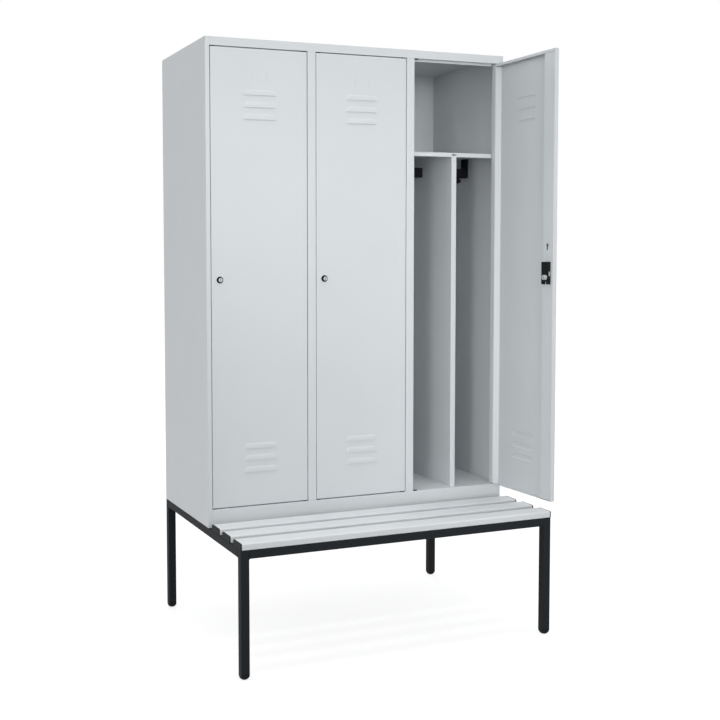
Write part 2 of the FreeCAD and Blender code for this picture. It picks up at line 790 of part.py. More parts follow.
def foot():
    """Domed plastic foot with a plug that fits the tube, drawn about the origin."""
    dome_centre = (foot_reach ** 2 - foot_pad ** 2 - foot_dome ** 2) / (2 * (foot_reach - foot_pad))
    dome_radius = foot_reach - dome_centre
    half_angle = math.atan2(foot_dome, foot_pad - dome_centre) / 2
    bulge_u = dome_centre + dome_radius * math.cos(half_angle)
    bulge = Vector(bulge_u, foot_dome - dome_radius * math.sin(half_angle))
    profile = loop_face([
        [Vector(0, 0)],
        [Vector(foot_pad, 0), bulge, Vector(foot_reach, foot_dome)],
        [Vector(foot_reach, foot_height)],
        [Vector(0, foot_height)],
    ])
    profile.Placement = FreeCAD.Placement(Vector(0, 0, 0), TOWARDS_FRONT)
    dome = profile.revolve(Vector(0, 0, 0), UPWARDS, 360)
    body = dome.common(upright(square_face(tube, tube_corner), (0, foot_height)))
    plug_size = tube - 2 * tube_wall - 2 * foot_fit
    plug = upright(square_face(plug_size, tube_corner - tube_wall), (foot_height, foot_height + foot_insert))
    return body.fuse(plug)


def feet():
    """A foot under every leg."""
    places = [(x, y) for x in (tube / 2, width - tube / 2) for y in (frame_front + tube / 2, rear_rail_y)]
    return Part.makeCompound([moved(foot(), Vector(x, y, 0)) for x, y in places])


def frame_screws():
    """Screws from below through the rails and bearers."""
    under = base - tube
    head = rod(screw_head_radius, Vector(0, 0, under - screw_head_height), Vector(0, 0, under))
    screw = head.fuse(rod(screw_radius, Vector(0, 0, under), Vector(0, 0, base + screw_grip)))
    places = carcass_screw_places() + slat_screw_places()
    return Part.makeCompound([moved(screw, Vector(x, y, 0)) for x, y in places])


def slat_outline(front):
    """Slat section with well rounded upper edges."""
    y = (front, front + slat_width)
    z = (base, base + slat_height)
    return rounded_face([
        (y[0], z[0], slat_bottom_radius),
        (y[1], z[0], slat_bottom_radius),
        (y[1], z[1], slat_top_radius),
        (y[0], z[1], slat_top_radius),
    ])


def slat_bores(front, fit):
    """Sections of the lengthwise chambers, drawn in by the fit."""
    span = (slat_width - (slat_chambers + 1) * slat_wall) / slat_chambers
    z = (base + slat_wall + fit, base + slat_height - slat_wall - fit)
    starts = [front + slat_wall + index * (span + slat_wall) for index in range(slat_chambers)]
    corner = slat_top_radius - slat_wall
    return [rounded_rectangle((start + fit, start + span - fit), z, corner) for start in starts]


def seat_slat(front):
    """Hollow bench slat with shallow grooves along its top."""
    x = (cap_plate, width - cap_plate)
    slat = lengthwise(slat_outline(front), x)
    past = (x[0] - overrun, x[1] + overrun)
    cuts = [lengthwise(bore, past) for bore in slat_bores(front, 0)]
    top = base + slat_height
    for index in range(slat_grooves):
        groove_y = front + slat_width * (index + 1) / (slat_grooves + 1)
        cuts.append(block(past, around(groove_y, groove_width), (top - groove_depth, top + overrun)))
    for place_x, place_y in slat_screw_places():
        if front < place_y < front + slat_width:
            cuts += upright_holes(screw_radius, [(place_x, place_y)], base)
    return slat.cut(cuts)


def slat_end_caps():
    """Caps that close both ends of every slat, each plugged into the chambers."""
    caps = []
    for front in slat_fronts:
        plugs = [lengthwise(bore, (cap_plate, cap_plate + cap_plug)) for bore in slat_bores(front, cap_fit)]
        cap = lengthwise(slat_outline(front), (0, cap_plate)).fuse(plugs)
        caps += [cap, flipped(cap)]
    return Part.makeCompound(caps)


def carcass():
    """Sheet-metal pieces, shelves, dividers and clothes rails."""
    left = side_panel()
    pieces = {
        "left_side_panel": left,
        "right_side_panel": flipped(left),
        "back_panel": back_panel(),
        "top_panel": top_panel(),
        "bottom_panel": bottom_panel(),
        "pivot_bushes": pivot_bushes(),
        "hinge_pins": hinge_pins(),
    }
    for number, seam in enumerate(inner_seams, 1):
        pieces["partition_%d" % number] = partition(seam)
        pieces["centre_post_%d" % number] = centre_post(seam)
    for number, (bay, centre) in enumerate(zip(bays, centres), 1):
        pieces["hat_shelf_%d" % number] = hat_shelf(bay, centre)
        pieces["divider_%d" % number] = divider(centre)
        pieces["clothes_rail_%d" % number] = clothes_rail(bay)
    return pieces


def coat_hooks():
    """One hook half way along the left half of each bay and one parked at the right wall."""
    hook = coat_hook()
    pieces = {}
    for number, (bay, centre) in enumerate(zip(bays, centres), 1):
        left_half = (bay[0] + centre - divider_width / 2) / 2
        pieces["coat_hook_%d_left" % number] = moved(hook, Vector(left_half, 0, 0))
        pieces["coat_hook_%d_right" % number] = moved(hook, Vector(bay[1] - hook_parked, 0, 0))
    return pieces


def doors():
    """Every door with its stiffener and lock; the last door stands open."""
    shut = {
        "door_leaf": door_leaf(),
        "door_stiffener": door_stiffener(),
        "lock_case": lock_case(),
        "lock_barrel": lock_barrel(),
        "lock_plug": lock_plug(),
        "lock_bolt": lock_bolt(),
    }
    pieces = {}
    for module in range(compartments):
        angle = open_angle if module == compartments - 1 else 0
        for name, shape in shut.items():
            pieces["%s_%d" % (name, module + 1)] = hung(shape, module, angle)
    return pieces


def bench():
    """Slats and their caps."""
    pieces = {"seat_slat_" + name: seat_slat(front) for name, front in zip(slat_names, slat_fronts)}
    pieces["slat_end_caps"] = slat_end_caps()
    return pieces


def footprint_middle():
    """Depth half way between the carcass rear and the bench front or the open door's free edge."""
    swing = math.radians(open_angle)
    door_reach = pivot_x - door_left
    edge_depths = [-pivot_y, door_thickness - pivot_y]
    corners = [pivot_y - door_reach * math.sin(swing) + depth * math.cos(swing) for depth in edge_depths]
    return (min(corners + [frame_front]) + carcass_depth) / 2


pieces = {**carcass(), **coat_hooks(), **doors(), **underframe(), **bench()}
pieces["feet"] = feet()
pieces["frame_screws"] = frame_screws()

os.makedirs("parts", exist_ok=True)
middle = Vector(-width / 2, -footprint_middle(), 0)
for name, shape in pieces.items():
    moved(shape, middle).exportStep("parts/%s.step" % name)
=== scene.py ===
import json
import logging
import math
from dataclasses import dataclass
from enum import Enum

import bmesh
import bpy
from mathutils import Matrix, Vector


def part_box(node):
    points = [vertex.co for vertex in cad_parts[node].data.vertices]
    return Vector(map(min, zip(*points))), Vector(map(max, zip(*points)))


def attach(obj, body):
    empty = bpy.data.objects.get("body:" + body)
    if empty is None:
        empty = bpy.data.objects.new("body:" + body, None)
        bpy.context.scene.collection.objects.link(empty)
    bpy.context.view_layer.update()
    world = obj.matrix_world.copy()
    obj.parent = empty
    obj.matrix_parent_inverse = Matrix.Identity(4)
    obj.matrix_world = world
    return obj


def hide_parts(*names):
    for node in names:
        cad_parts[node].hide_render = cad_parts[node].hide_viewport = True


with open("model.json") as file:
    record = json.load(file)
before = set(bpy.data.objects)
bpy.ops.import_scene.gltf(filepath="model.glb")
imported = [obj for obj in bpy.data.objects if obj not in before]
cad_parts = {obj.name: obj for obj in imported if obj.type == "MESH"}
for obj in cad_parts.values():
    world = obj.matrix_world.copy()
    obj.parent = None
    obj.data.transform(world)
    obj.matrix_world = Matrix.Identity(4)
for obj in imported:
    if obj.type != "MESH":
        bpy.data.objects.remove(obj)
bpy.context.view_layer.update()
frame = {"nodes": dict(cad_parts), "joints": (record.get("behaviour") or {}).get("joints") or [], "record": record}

# Cloakroom locker with a built-on bench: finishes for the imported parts, and fine meshes for the pieces
# whose pressed, moulded, extruded or turned forms show. Lengths are in metres, and MM turns a maker's
# millimetres to them.

LOG = logging.getLogger("locker")
MM = 0.001
MERGE_DISTANCE = 0.001 * MM
MERGE_DIGITS = 7
FLAT_ANGLE = math.radians(1)
SHARP_ANGLE = math.radians(32)
DOORS = (1, 2, 3)
Row = list[bmesh.types.BMVert]


class Slot(Enum):
    """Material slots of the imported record."""

    CARCASS = "carcass_powder_coat"
    DOOR = "door_powder_coat"
    FRAME = "frame_powder_coat"
    SLAT = "slat_plastic"
    PLASTIC = "black_plastic"
    CHROME = "lock_chrome"
    ZINC = "zinc_steel"


class Group(Enum):
    """Groups of louvres on a door."""

    UPPER = "upper"
    LOWER = "lower"


class Facing(Enum):
    """Turns a fitting that was built upwards to the side that it faces."""

    FRONT = Matrix.Rotation(math.radians(90), 4, "X")
    REAR = Matrix.Rotation(math.radians(-90), 4, "X")


def linear(colour: str) -> tuple[float, ...]:
    """Turns an sRGB hex colour to linear light.

    Args:
        colour: A hash sign and six hex digits.

    Returns:
        Linear red, green and blue, and an alpha of 1.
    """
    channels = [int(colour[place:place + 2], 16) / 255 for place in (1, 3, 5)]
    return (*[c / 12.92 if c <= 0.04045 else ((c + 0.055) / 1.055) ** 2.4 for c in channels], 1.0)


def add(
    tree: bpy.types.NodeTree, kind: str, wires: dict | None = None, **settings: object
) -> bpy.types.Node:
    """Adds a node with its settings and links.

    Args:
        tree: The tree that gets the node.
        kind: The node's type name.
        wires: Input name, or its number where names repeat, with its value or the output that feeds it.
        settings: Properties of the node itself.

    Returns:
        The new node.
    """
    node = tree.nodes.new(kind)
    for key, value in settings.items():
        setattr(node, key, value)
    for key, value in (wires or {}).items():
        if isinstance(value, bpy.types.NodeSocket):
            tree.links.new(value, node.inputs[key])
        else:
            node.inputs[key].default_value = value
    return node


def blank(holder: bpy.types.Material | bpy.types.World) -> bpy.types.NodeTree:
    """Gives a material or a world an empty tree.

    Args:
        holder: The material or the world.

    Returns:
        Its tree.
    """
    holder.use_nodes = True
    holder.node_tree.nodes.clear()
    return holder.node_tree


@dataclass(frozen=True)
class Finish:
    """A surface whose two close shades follow one noise, and whose gloss and relief follow another."""

    name: str
    colour: str
    second_colour: str
    roughness: tuple[float, float]
    specular: float = 0.5
    metallic: float = 0.0
    shade_size: float = 5 * MM
    grain_size: float = 5 * MM
    stretch: tuple[float, float, float] = (1.0, 1.0, 1.0)
    detail: float = 3.0
    relief_depth: float = 0.05 * MM
    relief_strength: float = 0.2

    def make(self) -> bpy.types.Material:
        """Builds the material.

        Returns:
            The material, with its patterns laid in the piece's own coordinates.
        """
        material = bpy.data.materials.new(self.name)
        tree = blank(material)
        place = add(tree, "ShaderNodeTexCoord").outputs["Object"]
        drawn = add(tree, "ShaderNodeMapping", {"Vector": place, "Scale": self.stretch})
        patterns = []
        for size in (self.shade_size, self.grain_size):
            wires = {"Vector": drawn.outputs[0], "Scale": 1 / size, "Detail": self.detail}
            patterns.append(add(tree, "ShaderNodeTexNoise", wires).outputs[0])
        shades, grain = patterns
        wires = {0: shades, 6: linear(self.colour), 7: linear(self.second_colour)}
        colour = add(tree, "ShaderNodeMix", wires, data_type="RGBA")
        wires = {"Value": grain, "To Min": self.roughness[0], "To Max": self.roughness[1]}
        gloss = add(tree, "ShaderNodeMapRange", wires)
        wires = {"Height": grain, "Distance": self.relief_depth, "Strength": self.relief_strength}
        relief = add(tree, "ShaderNodeBump", wires)
        wires = {
            "Base Color": colour.outputs[2],
            "Roughness": gloss.outputs[0],
            "Normal": relief.outputs[0],
            "Metallic": self.metallic,
            "Specular IOR Level": self.specular,
        }
        shader = add(tree, "ShaderNodeBsdfPrincipled", wires)
        add(tree, "ShaderNodeOutputMaterial", {"Surface": shader.outputs[0]})
        return material


@dataclass(frozen=True)
class PowderCoat(Finish):
    """Polyester powder baked on sheet steel, with a shade that drifts over a hand's width."""

    shade_size: float = 160 * MM
    # The peel is 2 mm wide on the real coat and is drawn coarser so that it shows
    grain_size: float = 7 * MM
    detail: float = 2.0


@dataclass(frozen=True)
class ExtrudedPlastic(Finish):
    """Rigid profile drawn through a die along X, with the die's lines along it."""

    # The lines are a few tenths wide on the real profile and are drawn coarser so that they show
    shade_size: float = 4 * MM
    grain_size: float = 4 * MM
    stretch: tuple[float, float, float] = (0.01, 1.0, 1.0)


@dataclass(frozen=True)
class MouldedPlastic(Finish):
    """Polyamide with the even grain of a spark-eroded mould."""

    # The grain is a tenth of a millimetre wide on the real piece and is drawn coarser so that it shows
    shade_size: float = 1.4 * MM
    grain_size: float = 1.4 * MM


@dataclass(frozen=True)
class PlatedMetal(Finish):
    """Turned or stamped metal, with clouds a few millimetres wide as the plating bath leaves them."""


FINISHES = {
    # Even satin skin whose faint orange peel softens every reflection
    Slot.CARCASS: PowderCoat("light_grey_powder_coat", "#D3D7D9", "#CFD3D5", (0.36, 0.46)),
    Slot.DOOR: PowderCoat("light_grey_powder_coat_door", "#D3D7D9", "#CFD3D5", (0.36, 0.46)),
    # The same skin in black-grey and dull, so that the tubes read as one dark line
    Slot.FRAME: PowderCoat("black_grey_powder_coat", "#282B2E", "#24272A", (0.5, 0.62), 0.06),
    # Silky skin with faint lines along the slat
    Slot.SLAT: ExtrudedPlastic("light_grey_extruded_plastic", "#D6D9DB", "#D2D5D7", (0.42, 0.55), 0.35),
    # Dull deep black with a fine even grain
    Slot.PLASTIC: MouldedPlastic("black_moulded_polyamide", "#16181A", "#1E2022", (0.48, 0.62), 0.1),
    # Mirror-bright with a slight drift of gloss
    Slot.CHROME: PlatedMetal("bright_chrome_plate", "#C9CBCD", "#B9BCBF", (0.12, 0.22), metallic=1.0),
    # Pale and milky, from the passive film over the zinc
    Slot.ZINC: PlatedMetal("passivated_zinc_plate", "#D2D5D7", "#BFC3C5", (0.4, 0.55), metallic=0.5),
}


@dataclass(frozen=True)
class Patterns:
    """Geometry Nodes trees for what repeats."""

    weld_scale_least: float = 0.8
    weld_scale_most: float = 1.15
    weld_scale_subdivisions: int = 2

    def begin(self, name: str, inputs: dict[str, str]) -> tuple[bpy.types.NodeTree, bpy.types.Node]:
        """Starts a tree with a shape, a finish and further named inputs.

        Args:
            name: The tree's name.
            inputs: Name and socket type of each further input.

        Returns:
            The tree and its input node.
        """
        tree = bpy.data.node_groups.new(name, "GeometryNodeTree")
        sockets = {"Shape": "NodeSocketGeometry", **inputs, "Finish": "NodeSocketMaterial"}
        for label, kind in sockets.items():
            tree.interface.new_socket(label, in_out="INPUT", socket_type=kind)
        tree.interface.new_socket("Result", in_out="OUTPUT", socket_type="NodeSocketGeometry")
        return tree, add(tree, "NodeGroupInput")

    def end(self, tree: bpy.types.NodeTree, given: bpy.types.Node, wires: dict) -> bpy.types.NodeTree:
        """Ends a tree: sets copies at points, makes them real and gives them their finish.

        Args:
            tree: The tree.
            given: Its input node.
            wires: Points, shape and, where it varies, size of the copies.

        Returns:
            The finished tree.
        """
        copies = add(tree, "GeometryNodeInstanceOnPoints", wires)
        real = add(tree, "GeometryNodeRealizeInstances", {"Geometry": copies.outputs[0]})
        wires = {"Geometry": real.outputs[0], "Material": given.outputs["Finish"]}
        finished = add(tree, "GeometryNodeSetMaterial", wires)
        add(tree, "NodeGroupOutput", {0: finished.outputs[0]})
        return tree

    def row(self) -> bpy.types.NodeTree:
        """Builds the tree that sets copies of a shape in a row.

        Returns:
            The tree, with inputs for count and step.
        """
        tree, given = self.begin("row", {"Count": "NodeSocketInt", "Step": "NodeSocketVector"})
        wires = {"Count": given.outputs["Count"], "Offset": given.outputs["Step"]}
        line = add(tree, "GeometryNodeMeshLine", wires, mode="OFFSET")
        wires = {"Points": line.outputs[0], "Instance": given.outputs["Shape"]}
        return self.end(tree, given, wires)

    def places(self) -> bpy.types.NodeTree:
        """Builds the tree that sets copies of a shape at the points of another object.

        Returns:
            The tree, with an input for that object.
        """
        tree, given = self.begin("places", {"Places": "NodeSocketObject"})
        source = add(tree, "GeometryNodeObjectInfo", {"Object": given.outputs["Places"]})
        wires = {"Points": source.outputs["Geometry"], "Instance": given.outputs["Shape"]}
        return self.end(tree, given, wires)

    def bead(self) -> bpy.types.NodeTree:
        """Builds the tree that lays the overlapping scales of a weld bead, uneven in size, along edges.

        Returns:
            The tree, with inputs for pitch, radius and seed.
        """
        inputs = {"Pitch": "NodeSocketFloat", "Radius": "NodeSocketFloat", "Seed": "NodeSocketInt"}
        tree, given = self.begin("bead", inputs)
        path = add(tree, "GeometryNodeMeshToCurve", {"Mesh": given.outputs["Shape"]})
        wires = {"Curve": path.outputs[0], "Length": given.outputs["Pitch"]}
        steps = add(tree, "GeometryNodeResampleCurve", wires, mode="LENGTH")
        wires = {"Radius": given.outputs["Radius"], "Subdivisions": self.weld_scale_subdivisions}
        scale = add(tree, "GeometryNodeMeshIcoSphere", wires)
        wires = {2: self.weld_scale_least, 3: self.weld_scale_most, "Seed": given.outputs["Seed"]}
        size = add(tree, "FunctionNodeRandomValue", wires, data_type="FLOAT")
        wires = {"Points": steps.outputs[0], "Instance": scale.outputs[0], "Scale": size.outputs[1]}
        return self.end(tree, given, wires)


@dataclass
class Workshop:
    """Makes meshes into finished pieces: materials, modifiers and their place on a body."""

    edge_segments: int = 2

    def __post_init__(self) -> None:
        """Makes every finish and every pattern once."""
        self.materials = {slot: finish.make() for slot, finish in FINISHES.items()}
        patterns = Patterns()
        self.row, self.places, self.bead = patterns.row(), patterns.places(), patterns.bead()

    def dress_parts(self) -> None:
        """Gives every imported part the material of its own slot."""
        for part in frame["record"]["subparts"]:
            for holder in frame["nodes"][part["node"]].material_slots:
                holder.material = self.materials[Slot(part["material_slot"])]

    def piece(self, name: str, form: bmesh.types.BMesh, slot: Slot) -> bpy.types.Object:
        """Makes an object of a form.

        Args:
            name: The piece's name.
            form: The finished form, which is freed.
            slot: The slot whose material it takes.

        Returns:
            The object, at the origin.
        """
        mesh = bpy.data.meshes.new(name)
        form.to_mesh(mesh)
        form.free()
        mesh.materials.append(self.materials[slot])
        piece = bpy.data.objects.new(name, mesh)
        bpy.context.scene.collection.objects.link(piece)
        return piece

    def plain(self, piece: bpy.types.Object) -> bpy.types.Object:
        """Turns a piece and its modifiers to a plain mesh.

        Args:
            piece: The object with its modifiers.

        Returns:
            The same object without them.
        """
        graph = bpy.context.evaluated_depsgraph_get()
        mesh = bpy.data.meshes.new_from_object(piece.evaluated_get(graph))
        spare = piece.data
        piece.modifiers.clear()
        piece.data = mesh
        bpy.data.meshes.remove(spare)
        return piece

    def smoothed(self, piece: bpy.types.Object) -> bpy.types.Object:
        """Shades a piece smooth up to its sharp edges, with flats kept flat.

        Args:
            piece: The object.

        Returns:
            The same object with a plain mesh.
        """
        piece.data.shade_smooth()
        piece.data.set_sharp_from_angle(angle=SHARP_ANGLE)
        flats = piece.modifiers.new("flats", "WEIGHTED_NORMAL")
        flats.keep_sharp = True
        return self.plain(piece)

    def grown(
        self, piece: bpy.types.Object, tree: bpy.types.NodeTree, slot: Slot, **sizes: object
    ) -> bpy.types.Object:
        """Runs a Geometry Nodes tree on a piece.

        Args:
            piece: The object whose mesh goes into the tree.
            tree: The tree.
            slot: The slot whose material the result takes.
            sizes: Values for the tree's other named inputs.

        Returns:
            The piece with the plain result.
        """
        modifier = piece.modifiers.new(tree.name, "NODES")
        modifier.node_group = tree
        values = {"Finish": self.materials[slot], **sizes}
        for socket in tree.interface.items_tree:
            if socket.in_out == "INPUT" and socket.name in values:
                modifier[socket.identifier] = values[socket.name]
        return self.plain(piece)

    def scattered(
        self, name: str, form: bmesh.types.BMesh, spots: list[Vector], slot: Slot
    ) -> bpy.types.Object:
        """Sets copies of a form at several spots.

        Args:
            name: The piece's name.
            form: The form, about the origin; it is freed.
            spots: Where the copies go.
            slot: The slot whose material they take.

        Returns:
            One piece with all the copies.
        """
        marks = bmesh.new()
        for spot in spots:
            marks.verts.new(spot)
        holder = self.piece(name + "_spots", marks, slot)
        piece = self.grown(self.piece(name, form, slot), self.places, slot, Places=holder)
        spare = holder.data
        bpy.data.objects.remove(holder)
        bpy.data.meshes.remove(spare)
        return piece

    def softened(self, node: str, suffix: str, radius: float, slot: Slot) -> bpy.types.Object:
        """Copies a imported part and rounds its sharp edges.

        Args:
            node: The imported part.
            suffix: Ending of the new piece's name.
            radius: Width of the rounded edge.
            slot: The slot whose material it takes.

        Returns:
            The new piece.
        """
        form = bmesh.new()
        form.from_mesh(frame["nodes"][node].data)
        bmesh.ops.remove_doubles(form, verts=form.verts, dist=MERGE_DISTANCE)
        bmesh.ops.dissolve_limit(form, angle_limit=FLAT_ANGLE, verts=form.verts, edges=form.edges)
        piece = self.piece(node + suffix, form, slot)
        edges = piece.modifiers.new("edges", "BEVEL")
        edges.width = radius
        edges.segments = self.edge_segments
        edges.limit_method = "ANGLE"
        edges.angle_limit = SHARP_ANGLE
        return self.smoothed(self.plain(piece))

    def settle(self, piece: bpy.types.Object, body: str, slot: Slot, *nodes: str) -> None:
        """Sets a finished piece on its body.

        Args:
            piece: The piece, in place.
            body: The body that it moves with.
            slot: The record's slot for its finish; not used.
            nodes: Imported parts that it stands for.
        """
        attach(piece, body)
        if nodes:
            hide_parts(*nodes)
        LOG.info("%s rides on %s: %d faces", piece.name, body, len(piece.data.polygons))


def arc(centre: Vector, radius: float, start: float, end: float, steps: int) -> list[Vector]:
    """Draws an arc in a plane.

    Args:
        centre: Centre of the arc.
        radius: Its radius.
        start: First angle in degrees.
        end: Last angle in degrees.
        steps: Number of straight steps.

    Returns:
        The points from first to last.
    """
    angles = [math.radians(start + (end - start) * step / steps) for step in range(steps + 1)]
    return [centre + radius * Vector((math.cos(angle), math.sin(angle))) for angle in angles]


def quads(form: bmesh.types.BMesh, first: Row, second: Row) -> None:
    """Joins two rows of points by a strip of faces.

    Args:
        form: The form that gets the faces.
        first: One row.
        second: The other row, with as many points.
    """
    for a, b, c, d in zip(first, first[1:], second[1:], second):
        form.faces.new((a, b, c, d))


@dataclass(frozen=True)
class Ring:
    """One level of a turned form: round, hexagonal, or drawn out to straight sides along X."""

    radius: float
    height: float
    hexagonal: bool = False
    stretch: float = 0.0

    def points(self, sides: int) -> list[Vector]:
        """Places points round the level.

        Args:
            sides: Number of points.

        Returns:
            The points, all in one place on a level without radius.
        """
        if not self.radius:
            return [Vector((0, 0, self.height))] * sides
        points = []
        half_flat = math.pi / 6
        for side in range(sides):
            angle = 2 * math.pi * side / sides
            off_flat = (angle + half_flat) % (2 * half_flat) - half_flat
            reach = self.radius / math.cos(off_flat) if self.hexagonal else self.radius
            across = reach * math.cos(angle)
            across += math.copysign(self.stretch / 2, across)
            points.append(Vector((across, reach * math.sin(angle), self.height)))
        return points


def turned(rings: list[Ring], sides: int = 24) -> bmesh.types.BMesh:
    """Builds a closed form from its levels.

    Args:
        rings: The levels from one pole to the other.
        sides: Points round each level.

    Returns:
        The form, about the Z axis.
    """
    form = bmesh.new()
    loops = [[form.verts.new(point) for point in ring.points(sides)] for ring in rings]
    for low, high in zip(loops, loops[1:]):
        quads(form, low + low[:1], high + high[:1])
    bmesh.ops.remove_doubles(form, verts=form.verts, dist=MERGE_DISTANCE)
    bmesh.ops.recalc_face_normals(form, faces=form.faces)
    return form


@dataclass(frozen=True)
class SocketHead:
    """Round screw head with a hexagon socket."""

    radius: float
    height: float
    edge: float
    socket_flat: float
    socket_depth: float

    def rings(self, seat: float, up: int) -> list[Ring]:
        """Lists the levels of the head.

        Args:
            seat: Height that the head seats on.
            up: 1 for a head above its seat, -1 for one below.

        Returns:
            The levels from the seat to the bottom of the socket.
        """
        top = seat + up * self.height
        bottom = top - up * self.socket_depth
        return [
            Ring(self.radius, seat),
            Ring(self.radius, top - up * self.edge),
            Ring(self.radius - self.edge, top),
            Ring(self.socket_flat, top, True),
            Ring(self.socket_flat, bottom, True),
            Ring(0, bottom),
        ]


def middle_of(node: str) -> Vector:
    """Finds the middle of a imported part's box."""
    low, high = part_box(node)
    return (low + high) / 2


def joint(name: str) -> dict:
    """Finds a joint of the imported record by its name."""
    return next(entry for entry in frame["joints"] if entry["name"] == name)


def hung(number: int) -> Matrix:
    """Carries what belongs to the shut first door to another door as it hangs at rest.

    Args:
        number: The other door's number, from the left.

    Returns:
        The move, which turns the door as far as its joint says.
    """
    swing = joint("door_%d_swing" % number)
    first = Vector(joint("door_1_swing")["pos_m"])
    opened = Matrix.Rotation(-math.radians(swing["range_deg"][0]), 4, "Z")
    return Matrix.Translation(Vector(swing["pos_m"])) @ opened @ Matrix.Translation(-first)


@dataclass
class DoorLeaf:
    """Folded door pan, its skin pressed out to louvres with lanced lips and cut by two label slits."""

    shop: Workshop
    sheet: float = 1 * MM
    edge_radius: float = 3 * MM
    edge_steps: int = 4
    lip: float = 10 * MM
    hinge_lip: float = 21 * MM
    hinge_gap: float = 2 * MM
    fold_radius: float = 4 * MM
    fold_angle: float = 45.0
    fold_steps: int = 3
    louvre_width: float = 125 * MM
    louvre_height: float = 19 * MM
    louvre_proud: float = 2.5 * MM
    louvre_corner: float = 15 * MM
    # Exponents of the hood's curve
    crown: float = 3.0
    flank: float = 8.0
    shoulder: float = 0.4
    crease_width: float = 0.8 * MM
    crease_depth: float = 0.25 * MM
    crease_margin: float = 8 * MM
    # Share of the louvre's height over which the crease deepens
    crease_fade: float = 0.25
    louvre_pitch: float = 42 * MM
    louvre_count: int = 3
    louvre_columns: int = 30
    louvre_rows: int = 10
    top_margin: float = 141 * MM
    bottom_margin: float = 120 * MM
    slit_spacing: float = 54 * MM
    slit_width: float = 0.4 * MM
    slit_height: float = 28 * MM
    slit_rise: float = 32 * MM

    def __post_init__(self) -> None:
        """Takes the outline of the shut first door from the frame."""
        low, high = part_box("door_leaf_1")
        self.left, self.right = low.x, high.x
        self.bottom, self.top = low.z, high.z
        self.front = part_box("centre_post_1")[0].y
        self.rear = high.y
        self.middle = (self.left + self.right) / 2
        self.margin = (self.louvre_pitch - self.louvre_height) / 2

    def lips(self, group: Group) -> list[float]:
        """Finds the lanced lower lips of one group.

        Args:
            group: The group.

        Returns:
            Their heights from the lowest up.
        """
        steps = [index * self.louvre_pitch for index in range(self.louvre_count)]
        if group is Group.LOWER:
            return [self.bottom + self.bottom_margin + step for step in steps]
        highest = self.top - self.top_margin - self.louvre_height
        return [highest - step for step in reversed(steps)]

    def marks(self) -> list[float]:
        """Spaces the points across a louvre, close together at its ends and with a pair at each slit.

        Returns:
            Their places as shares of the louvre's half width.
        """
        half = self.louvre_width / 2
        turns = [math.pi * index / self.louvre_columns for index in range(self.louvre_columns + 1)]
        marks = [-math.cos(turn) for turn in turns]
        for side in (-1, 1):
            slit = side * self.slit_spacing / 2
            marks += [(slit - self.slit_width / 2) / half, (slit + self.slit_width / 2) / half]
            marks += [side * (1 + out / half) for out in (self.crease_width, self.crease_margin)]
        return sorted(marks)

    def columns(self, rise: float = 0.0) -> list[float]:
        """Spaces the points across the skin from edge to edge.

        Args:
            rise: Share of a louvre's height; the louvre draws in towards its rounded top corners.

        Returns:
            Their places from the left.
        """
        half = self.louvre_width / 2 - self.louvre_corner * (1 - math.sqrt(1 - rise * rise))
        inner = [self.middle + half * mark for mark in self.marks()]
        return [self.left + self.edge_radius, *inner, self.right - self.edge_radius]

    def hood(self, mark: float, rise: float) -> float:
        """Tells how far the skin of a louvre stands proud.

        Args:
            mark: Share of the louvre's half width.
            rise: Share of its height above the lip.

        Returns:
            The distance in front of the skin, below zero in the crease round the louvre.
        """
        if abs(mark) > 1:
            return 0.0
        if abs(mark) == 1 or rise == 1:
            return -self.crease_depth * min(1.0, rise / self.crease_fade)
        crown = (1 - rise ** self.crown) ** self.shoulder
        flank = (1 - abs(mark) ** self.flank) ** self.shoulder
        return self.louvre_proud * crown * flank

    def louvre(self) -> bmesh.types.BMesh:
        """Builds the width of skin that holds one louvre.

        Returns:
            The form, with its lip at height 0.
        """
        form = bmesh.new()
        marks = self.marks()

        def level(z: float) -> Row:
            """Lays a row of points on the flat skin."""
            return [form.verts.new((x, self.front, z)) for x in self.columns()]

        pressed = []
        for index in range(self.louvre_rows + 1):
            rise = math.sin(math.pi / 2 * index / self.louvre_rows)
            out = [0.0, *[self.hood(mark, rise) for mark in marks], 0.0]
            z = rise * self.louvre_height
            row = [form.verts.new((x, self.front - y, z)) for x, y in zip(self.columns(rise), out)]
            pressed.append(row)
        above = [level(self.louvre_height + self.crease_width), level(self.louvre_height + self.margin)]
        rows = pressed + above
        quads(form, level(-self.margin), level(0.0))
        for low, high in zip(rows, rows[1:]):
            quads(form, low, high)
        bmesh.ops.remove_doubles(form, verts=form.verts, dist=MERGE_DISTANCE)
        return form

    def heights(self) -> list[float]:
        """Finds the flat bands of skin below, between and above the two groups of louvres.

        Returns:
            Foot and head of each band, from the lowest up; the last but one holds the slits.
        """
        lower, upper = self.lips(Group.LOWER), self.lips(Group.UPPER)
        past = self.louvre_height + self.margin
        slit = self.top - self.top_margin + self.slit_rise
        return [
            self.bottom + self.edge_radius, lower[0] - self.margin,
            lower[-1] + past, upper[0] - self.margin,
            upper[-1] + past, slit,
            slit, slit + self.slit_height,
            slit + self.slit_height, self.top - self.edge_radius,
        ]

    def flats(self, form: bmesh.types.BMesh) -> None:
        """Adds the flat bands of the skin, with the slits left open.

        Args:
            form: The skin.
        """
        columns = self.columns()
        heights = self.heights()
        slit_band = len(heights) // 2 - 2
        for band, (low, high) in enumerate(zip(heights[::2], heights[1::2])):
            feet = [form.verts.new((x, self.front, low)) for x in columns]
            heads = [form.verts.new((x, self.front, high)) for x in columns]
            for index, (x, x_next) in enumerate(zip(columns, columns[1:])):
                off_slit = abs(abs((x + x_next) / 2 - self.middle) - self.slit_spacing / 2)
                if band != slit_band or off_slit > self.slit_width / 4:
                    form.faces.new((feet[index], feet[index + 1], heads[index + 1], heads[index]))

